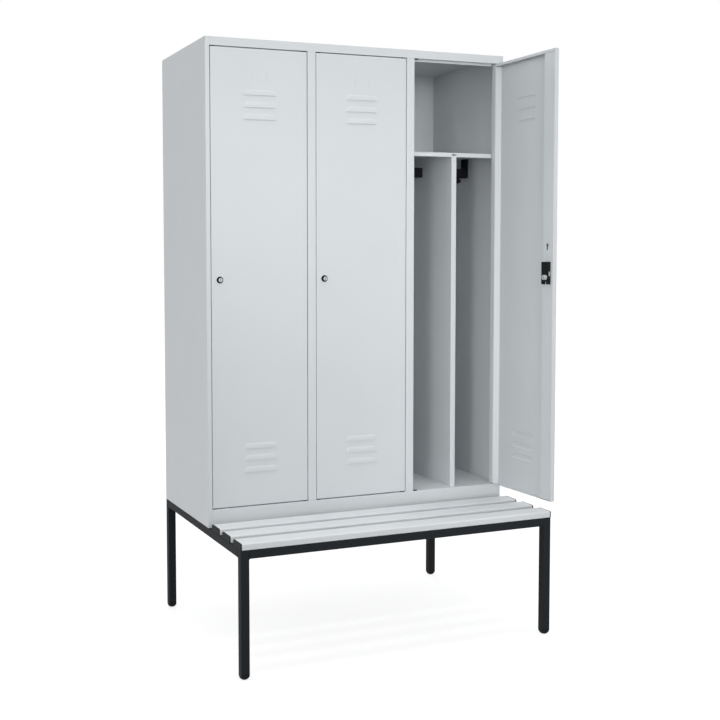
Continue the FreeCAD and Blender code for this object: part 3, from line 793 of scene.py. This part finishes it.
    def returns(self, form: bmesh.types.BMesh) -> None:
        """Folds the open rim of the skin back round its radius.

        Args:
            form: The skin.
        """
        near = 2 * self.edge_radius

        def edge(place: float, low: float, high: float) -> int:
            """Tells which of two edges a place is at: -1 or 1, and 0 for neither."""
            return (place > high - near) - (place < low + near)

        columns = self.columns()
        side = [v.co.z for v in form.verts if abs(v.co.x - columns[0]) < MERGE_DISTANCE]
        upright = sorted({round(z, MERGE_DIGITS) for z in side})
        rim = [Vector((x, self.front, self.bottom + self.edge_radius)) for x in columns]
        rim += [Vector((columns[-1], self.front, z)) for z in upright[1:-1]]
        rim += [Vector((x, self.front, self.top - self.edge_radius)) for x in reversed(columns)]
        rim += [Vector((columns[0], self.front, z)) for z in reversed(upright[1:-1])]
        angles = [math.pi / 2 * step / self.edge_steps for step in range(self.edge_steps + 1)]
        rings = [(self.edge_radius * math.sin(a), self.edge_radius * (1 - math.cos(a))) for a in angles]
        rings.append((self.edge_radius, self.rear - self.front))
        loops = []
        for out, depth in rings:
            loop = []
            for x, y, z in rim:
                x += out * edge(x, self.left, self.right)
                z += out * edge(z, self.bottom, self.top)
                loop.append(form.verts.new((x, y + depth, z)))
            loops.append(loop + loop[:1])
        for inner, outside in zip(loops, loops[1:]):
            quads(form, outside, inner)

    def strip(self, form: bmesh.types.BMesh, path: list[Vector], low: float, high: float) -> None:
        """Adds an upright strip of sheet along a level path.

        Args:
            form: The skin.
            path: Points (X, Y) along the strip.
            low: Height of its foot.
            high: Height of its head.
        """
        feet = [form.verts.new((point.x, point.y, low)) for point in path]
        heads = [form.verts.new((point.x, point.y, high)) for point in path]
        quads(form, feet, heads)

    def inner_folds(self, form: bmesh.types.BMesh) -> None:
        """Adds the lip along the top and the boxed hinge edge.

        Args:
            form: The skin.
        """
        ends = [Vector((x, self.rear)) for x in (self.right - self.sheet, self.left + self.sheet)]
        self.strip(form, ends, self.top - self.lip, self.top - self.sheet)
        fold = Vector((self.right - self.hinge_lip, self.rear))
        slope = self.rear - self.front - self.hinge_gap
        angle = math.radians(self.fold_angle)
        centre = fold + Vector((self.fold_radius * math.tan(angle / 2), -self.fold_radius))
        bend = arc(centre, self.fold_radius, 90, 90 + self.fold_angle, self.fold_steps)
        path = [ends[0], *bend, fold - Vector((slope / math.tan(angle), slope))]
        self.strip(form, path, self.bottom + self.sheet, self.top - self.lip)

    def build(self, name: str) -> bpy.types.Object:
        """Builds the shut door's sheet as one skin.

        Args:
            name: The piece's name.

        Returns:
            The sheet, still without its thickness.
        """
        spots = [Vector((0, 0, lip)) for lip in self.lips(Group.LOWER) + self.lips(Group.UPPER)]
        skin = self.shop.scattered(name, self.louvre(), spots, Slot.DOOR)
        form = bmesh.new()
        form.from_mesh(skin.data)
        self.flats(form)
        self.returns(form)
        bmesh.ops.remove_doubles(form, verts=form.verts, dist=MERGE_DISTANCE)
        self.inner_folds(form)
        form.to_mesh(skin.data)
        form.free()
        return skin

    def dress(self, number: int) -> None:
        """Makes one door's leaf and hangs it as its joint says.

        Args:
            number: The door's number, from the left.
        """
        leaf = self.build("door_leaf_%d_sheet" % number)
        leaf.data.transform(hung(number))
        wall = leaf.modifiers.new("wall", "SOLIDIFY")
        wall.thickness = self.sheet
        # The skin is the outer face, and the wall grows inwards from it
        wall.offset = -1
        self.shop.smoothed(self.shop.plain(leaf))
        self.shop.settle(leaf, "door_%d" % number, Slot.DOOR, "door_leaf_%d" % number)


@dataclass
class LockTail:
    """Stamped plate on the rear end of a lock plug, with the socket screw that holds it."""

    shop: Workshop
    length: float = 28.6 * MM
    width: float = 17.6 * MM
    thickness: float = 1.9 * MM
    plate_edge: float = 0.5 * MM
    seat: float = 4.65 * MM
    screw: SocketHead = SocketHead(
        radius=4.7 * MM, height=2.9 * MM, edge=0.7 * MM, socket_flat=2 * MM, socket_depth=1.8 * MM
    )

    def build(self, name: str) -> bpy.types.Object:
        """Builds the plate and screw behind the shut first door.

        Args:
            name: The piece's name.

        Returns:
            The piece.
        """
        radius, stretch = self.width / 2, self.length - self.width
        rings = [
            Ring(0, 0),
            Ring(radius, 0, stretch=stretch),
            Ring(radius, self.thickness - self.plate_edge, stretch=stretch),
            Ring(radius - self.plate_edge, self.thickness, stretch=stretch),
            *self.screw.rings(self.thickness, 1),
        ]
        form = turned(rings)
        form.transform(Facing.REAR.value)
        axis = Vector(joint("door_1_plug_turn")["pos_m"])
        axis.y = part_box("lock_plug_1")[1].y - self.seat
        form.transform(Matrix.Translation(axis))
        return self.shop.piece(name, form, Slot.ZINC)

    def dress(self, number: int) -> None:
        """Sets the plate on one door's plug.

        Args:
            number: The door's number, from the left.
        """
        tail = self.build("lock_tail_plate_%d" % number)
        tail.data.transform(hung(number))
        self.shop.settle(self.shop.smoothed(tail), "plug_%d" % number, Slot.ZINC)


@dataclass
class Bench:
    """Three grooved slats with end caps."""

    shop: Workshop
    top_radius: float = 5 * MM
    top_steps: int = 6
    bottom_radius: float = 1.5 * MM
    bottom_steps: int = 3
    grooves: int = 4
    groove_half: float = 1.3 * MM
    groove_floor: float = 0.5 * MM
    groove_depth: float = 0.8 * MM
    cap_edge: float = 0.8 * MM
    names: tuple[str, ...] = ("seat_slat_front", "seat_slat_middle", "seat_slat_rear")

    def section(self, low: Vector, high: Vector) -> list[Vector]:
        """Draws the outline of a slat across its length.

        Args:
            low: The slat's lowest corner.
            high: Its highest corner.

        Returns:
            Points (Y, Z) round the outline.
        """
        r, steps = self.bottom_radius, self.bottom_steps
        points = arc(Vector((low.y + r, low.z + r)), r, 180, 270, steps)
        points += arc(Vector((high.y - r, low.z + r)), r, 270, 360, steps)
        r, steps = self.top_radius, self.top_steps
        points += arc(Vector((high.y - r, high.z - r)), r, 0, 90, steps)
        pitch = (high.y - low.y) / (self.grooves + 1)
        for index in range(self.grooves, 0, -1):
            groove = low.y + index * pitch
            across = [self.groove_half, self.groove_floor, -self.groove_floor, -self.groove_half]
            drops = [0.0, self.groove_depth, self.groove_depth, 0.0]
            points += [Vector((groove + y, high.z - drop)) for y, drop in zip(across, drops)]
        return points + arc(Vector((low.y + r, high.z - r)), r, 90, 180, steps)

    def build(self) -> bpy.types.Object:
        """Builds the row of slats.

        Returns:
            One piece with all the slats.
        """
        low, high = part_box(self.names[0])
        form = bmesh.new()
        section = self.section(low, high)
        near, far = [[form.verts.new((x, y, z)) for y, z in section] for x in (low.x, high.x)]
        quads(form, near + near[:1], far + far[:1])
        form.faces.new(near)
        form.faces.new(far)
        bmesh.ops.recalc_face_normals(form, faces=form.faces)
        slat = self.shop.piece("bench_slats", form, Slot.SLAT)
        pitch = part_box(self.names[1])[0].y - low.y
        sizes = {"Count": len(self.names), "Step": (0, pitch, 0)}
        return self.shop.smoothed(self.shop.grown(slat, self.shop.row, Slot.SLAT, **sizes))

    def dress(self) -> None:
        """Sets the slats and their caps on the underframe."""
        self.shop.settle(self.build(), "carcass", Slot.SLAT, *self.names)
        caps = self.shop.softened("slat_end_caps", "_moulded", self.cap_edge, Slot.PLASTIC)
        self.shop.settle(caps, "carcass", Slot.PLASTIC, "slat_end_caps")


@dataclass
class Underframe:
    """Weld beads in the corners of the tube joints, and the socket screws under the rails."""

    shop: Workshop
    tube: float = 30 * MM
    bead_radius: float = 1.7 * MM
    bead_pitch: float = 2.2 * MM
    bead_inset: float = 2 * MM
    bead_seed: int = 7
    screw_radius: float = 3 * MM
    screw_grip: float = 9 * MM
    screw_head: SocketHead = SocketHead(
        radius=5 * MM, height=4 * MM, edge=0.6 * MM, socket_flat=2.5 * MM, socket_depth=2.4 * MM
    )

    def seams(self) -> list[tuple[Vector, Vector]]:
        """Finds the corners under and beside the joints.

        Returns:
            Both ends of every bead.
        """
        seams = []
        names = ("front", "rear", "left", "right", "middle")
        rails = {name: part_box("frame_rail_" + name) for name in names}
        low_z, high_z = rails["front"][0].z, rails["front"][1].z
        inset = self.bead_inset
        for name in ("front", "rear"):
            low, high = rails[name]
            for x in (low.x, high.x):
                seams.append((Vector((x, low.y + inset, low_z)), Vector((x, high.y - inset, low_z))))
        corners = []
        for name in ("left", "right"):
            low, high = rails[name]
            for y in (low.y, high.y):
                seams.append((Vector((low.x + inset, y, low_z)), Vector((high.x - inset, y, low_z))))
                corners.append((high.x if name == "left" else low.x, y))
        low, high = rails["middle"]
        corners += [(x, y) for x in (low.x, high.x) for y in (low.y, high.y)]
        low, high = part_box("bench_bearers")
        sides = (low.x, low.x + self.tube, high.x - self.tube, high.x)
        corners += [(x, y) for x in sides for y in (low.y, high.y)]
        for x, y in corners:
            seams.append((Vector((x, y, low_z + inset)), Vector((x, y, high_z - inset))))
        return seams

    def beads(self) -> bpy.types.Object:
        """Builds the weld beads.

        Returns:
            One piece with all the beads.
        """
        form = bmesh.new()
        for start, end in self.seams():
            form.edges.new((form.verts.new(start), form.verts.new(end)))
        path = self.shop.piece("weld_beads", form, Slot.FRAME)
        sizes = {"Pitch": self.bead_pitch, "Radius": self.bead_radius, "Seed": self.bead_seed}
        return self.shop.smoothed(self.shop.grown(path, self.shop.bead, Slot.FRAME, **sizes))

    def screws(self) -> bpy.types.Object:
        """Builds the screws, each with a hexagon socket in its head.

        Returns:
            One piece with all the screws.
        """
        low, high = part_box("frame_rail_front")
        reach = high.z - low.z + self.screw_grip
        shank = [Ring(0, reach), Ring(self.screw_radius, reach), Ring(self.screw_radius, 0)]
        screw = turned(shank + self.screw_head.rings(0, -1))
        across = [middle_of("divider_%d" % number).x for number in DOORS]
        depths = [middle_of("frame_rail_" + name).y for name in ("middle", "rear")]
        places = [(x, y) for x in across for y in depths]
        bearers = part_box("bench_bearers")
        across = [bearers[0].x + self.tube / 2, bearers[1].x - self.tube / 2]
        across += [middle_of("frame_rail_" + name).x for name in ("left", "right")]
        depths = [middle_of(name).y for name in Bench.names]
        places += [(x, y) for x in across for y in depths]
        spots = [Vector((x, y, low.z)) for x, y in places]
        return self.shop.smoothed(self.shop.scattered("socket_screws", screw, spots, Slot.ZINC))

    def dress(self) -> None:
        """Sets beads and screws on the underframe."""
        self.shop.settle(self.beads(), "carcass", Slot.FRAME)
        self.shop.settle(self.screws(), "carcass", Slot.ZINC, "frame_screws")


@dataclass
class SheetJoints:
    """Blind rivets that tie the dividers to the shelves, and spot welds along the back panel."""

    shop: Workshop
    # A profile gives radius and height of each level, in millimetres
    rivet_profile: tuple[tuple[float, float], ...] = (
        (0, 0.5), (1.1, 0.5), (1.3, 1.2), (3.0, 1.0), (4.2, 0.5), (4.5, 0.1), (4.5, -0.4), (0, -0.4),
    )
    weld_profile: tuple[tuple[float, float], ...] = (
        (0, 0.12), (1.7, 0.15), (2.6, 0.4), (3.2, 0.35), (3.9, 0.02), (3.9, -0.3), (0, -0.3),
    )
    rivet_drop: float = 28 * MM
    weld_margin: float = 40 * MM
    welds_per_bay: int = 5
    weld_drop: float = 6 * MM

    def rivets(self) -> bpy.types.Object:
        """Builds the domed heads, each with the pit that its mandrel leaves.

        Returns:
            One piece with all the rivets.
        """
        form = turned([Ring(radius * MM, height * MM) for radius, height in self.rivet_profile])
        form.transform(Facing.FRONT.value)
        spots = []
        for number in DOORS:
            divider = "divider_%d" % number
            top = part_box("hat_shelf_%d" % number)[1].z
            spots.append(Vector((middle_of(divider).x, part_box(divider)[0].y, top - self.rivet_drop)))
        return self.shop.smoothed(self.shop.scattered("divider_rivets", form, spots, Slot.CARCASS))

    def welds(self) -> bpy.types.Object:
        """Builds the shallow rings that spot welds leave at the shelves and at the floor.

        Returns:
            One piece with all the welds.
        """
        form = turned([Ring(radius * MM, height * MM) for radius, height in self.weld_profile])
        form.transform(Facing.REAR.value)
        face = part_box("back_panel")[1].y
        floor = middle_of("bottom_panel").z
        spots = []
        for number in DOORS:
            low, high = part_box("hat_shelf_%d" % number)
            step = (high.x - low.x - 2 * self.weld_margin) / (self.welds_per_bay - 1)
            for index in range(self.welds_per_bay):
                x = low.x + self.weld_margin + index * step
                spots += [Vector((x, face, high.z - self.weld_drop)), Vector((x, face, floor))]
        return self.shop.smoothed(self.shop.scattered("spot_welds", form, spots, Slot.CARCASS))

    def dress(self) -> None:
        """Sets rivets and welds on the carcass."""
        self.shop.settle(self.rivets(), "carcass", Slot.CARCASS)
        self.shop.settle(self.welds(), "carcass", Slot.CARCASS)


@dataclass
class Mouldings:
    """Small moulded, turned and stamped pieces whose sharp edges are rounded."""

    shop: Workshop
    rail_edge: float = 0.6 * MM
    hook_edge: float = 0.9 * MM
    case_edge: float = 0.5 * MM
    foot_edge: float = 0.6 * MM
    bush_edge: float = 0.4 * MM
    bolt_edge: float = 0.3 * MM
    plug_edge: float = 0.3 * MM

    def dress(self) -> None:
        """Rounds rails, hooks, locks, bushes and feet."""
        self.round("feet", "carcass", self.foot_edge, Slot.PLASTIC)
        self.round("pivot_bushes", "carcass", self.bush_edge, Slot.PLASTIC)
        for number in DOORS:
            self.round("clothes_rail_%d" % number, "carcass", self.rail_edge, Slot.PLASTIC)
            self.round("lock_case_%d" % number, "door_%d" % number, self.case_edge, Slot.PLASTIC)
            self.round("lock_bolt_%d" % number, "bolt_%d" % number, self.bolt_edge, Slot.ZINC)
            self.round("lock_plug_%d" % number, "plug_%d" % number, self.plug_edge, Slot.CHROME)
            for side in ("left", "right"):
                hook = "%d_%s" % (number, side)
                self.round("coat_hook_" + hook, "hook_" + hook, self.hook_edge, Slot.PLASTIC)

    def round(self, node: str, body: str, radius: float, slot: Slot) -> None:
        """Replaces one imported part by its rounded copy."""
        self.shop.settle(self.shop.softened(node, "_rounded", radius, slot), body, slot, node)


@dataclass(frozen=True)
class Softbox:
    """A lamp behind a diffuser, with a honeycomb that narrows its beam."""

    name: str
    place: tuple[float, float, float]
    aim: tuple[float, float, float]
    size: tuple[float, float]
    power: float
    spread: float

    def hang(self) -> None:
        """Hangs the lamp and turns it to its aim."""
        light = bpy.data.lights.new(self.name, "AREA")
        light.shape = "RECTANGLE"
        light.size, light.size_y = self.size
        light.energy = self.power
        light.spread = math.radians(self.spread)
        lamp = bpy.data.objects.new(self.name, light)
        lamp.location = self.place
        lamp.rotation_mode = "QUATERNION"
        lamp.rotation_quaternion = (Vector(self.aim) - Vector(self.place)).to_track_quat("-Z", "Y")
        lamp.visible_camera = False
        bpy.context.scene.collection.objects.link(lamp)


@dataclass
class Studio:
    """Pale floor, white surround, soft lamps and the camera of the reference view."""

    floor_half: float = 60.0
    floor_colour: str = "#9A9A9A"
    floor_lift: float = 0.75
    backdrop_colour: str = "#FFFFFF"
    surround_colour: str = "#FAFBFC"
    surround_strength: float = 1.0
    camera_place: tuple[float, float, float] = (-1.8259, -3.578, 1.3786)
    camera_yaw: float = 20.4
    camera_pitch: float = -3.255
    camera_roll: float = -0.362
    lens: float = 53.735
    shift: tuple[float, float] = (0.1839, -0.06)
    softboxes: tuple[Softbox, ...] = (
        Softbox("key_softbox", (-0.6, -3.3, 2.0), (-0.35, 0.0, 1.8), (1.4, 1.0), 3.6, 52.0),
        Softbox("fill_softbox", (-2.4, -2.6, 0.95), (0.55, -0.1, 0.85), (0.6, 1.9), 1.7, 34.0),
        Softbox("inner_softbox", (0.35, -4.4, 1.2), (0.4, 0.2, 1.2), (0.3, 2.0), 0.34, 12.0),
        Softbox("bench_softbox", (0.0, -0.75, 4.2), (0.0, -0.28, 0.45), (2.0, 0.5), 1.35, 26.0),
        Softbox("rear_softbox", (0.8, 4.6, 2.6), (0.0, 0.4, 1.1), (2.4, 2.4), 30.0, 120.0),
    )

    def build(self) -> None:
        """Builds floor, surround, lamps and camera."""
        self.surround()
        self.floor()
        for softbox in self.softboxes:
            softbox.hang()
        self.camera()
        bpy.context.scene.view_settings.view_transform = "Standard"

    def seen(self, tree: bpy.types.NodeTree) -> bpy.types.NodeSocket:
        """Masks what the eye, a reflection or a view through glass meets.

        Args:
            tree: The tree that gets the mask.

        Returns:
            The mask's output.
        """
        path = add(tree, "ShaderNodeLightPath").outputs
        wires = {0: path["Is Camera Ray"], 1: path["Is Glossy Ray"]}
        some = add(tree, "ShaderNodeMath", wires, operation="MAXIMUM")
        wires = {0: some.outputs[0], 1: path["Is Transmission Ray"]}
        return add(tree, "ShaderNodeMath", wires, operation="MAXIMUM").outputs[0]

    def surround(self) -> None:
        """Makes the surround white to the eye and in reflections, and a plain soft fill as light."""
        world = bpy.data.worlds.new("white_studio")
        bpy.context.scene.world = world
        tree = blank(world)
        wires = {"Color": linear(self.surround_colour), "Strength": self.surround_strength}
        fill = add(tree, "ShaderNodeBackground", wires)
        white = add(tree, "ShaderNodeBackground", {"Color": linear(self.backdrop_colour)})
        wires = {0: self.seen(tree), 1: fill.outputs[0], 2: white.outputs[0]}
        mix = add(tree, "ShaderNodeMixShader", wires)
        add(tree, "ShaderNodeOutputWorld", {"Surface": mix.outputs[0]})

    def floor(self) -> None:
        """Lays a pale floor that keeps the shadow and otherwise meets the white surround."""
        form = bmesh.new()
        bmesh.ops.create_grid(form, x_segments=1, y_segments=1, size=self.floor_half)
        mesh = bpy.data.meshes.new("studio_floor")
        form.to_mesh(mesh)
        form.free()
        material = bpy.data.materials.new("matt_white_floor")
        tree = blank(material)
        matt = add(tree, "ShaderNodeBsdfDiffuse", {"Color": linear(self.floor_colour)})
        wires = {0: self.seen(tree), 1: self.floor_lift}
        lift = add(tree, "ShaderNodeMath", wires, operation="MULTIPLY")
        glow = add(tree, "ShaderNodeEmission", {"Strength": lift.outputs[0]})
        total = add(tree, "ShaderNodeAddShader", {0: matt.outputs[0], 1: glow.outputs[0]})
        add(tree, "ShaderNodeOutputMaterial", {"Surface": total.outputs[0]})
        mesh.materials.append(material)
        floor = bpy.data.objects.new("studio_floor", mesh)
        bpy.context.scene.collection.objects.link(floor)

    def camera(self) -> None:
        """Sets the camera at the reference view, in front on the left at breast height."""
        lens = bpy.data.cameras.new("reference_camera")
        lens.lens = self.lens
        lens.shift_x, lens.shift_y = self.shift
        camera = bpy.data.objects.new("reference_camera", lens)
        turn = Matrix.Rotation(-math.radians(self.camera_yaw), 4, "Z")
        turn = turn @ Matrix.Rotation(math.radians(90 + self.camera_pitch), 4, "X")
        turn = turn @ Matrix.Rotation(math.radians(self.camera_roll), 4, "Z")
        camera.matrix_world = Matrix.Translation(self.camera_place) @ turn
        bpy.context.scene.collection.objects.link(camera)
        bpy.context.scene.camera = camera


def main() -> None:
    """Builds every sub-assembly in order."""
    logging.basicConfig(level=logging.INFO, format="%(name)s: %(message)s")
    shop = Workshop()
    shop.dress_parts()
    leaf = DoorLeaf(shop)
    tail = LockTail(shop)
    for number in DOORS:
        leaf.dress(number)
        tail.dress(number)
    Bench(shop).dress()
    Underframe(shop).dress()
    SheetJoints(shop).dress()
    Mouldings(shop).dress()
    Studio().build()


if __name__ == "__main__":
    main()
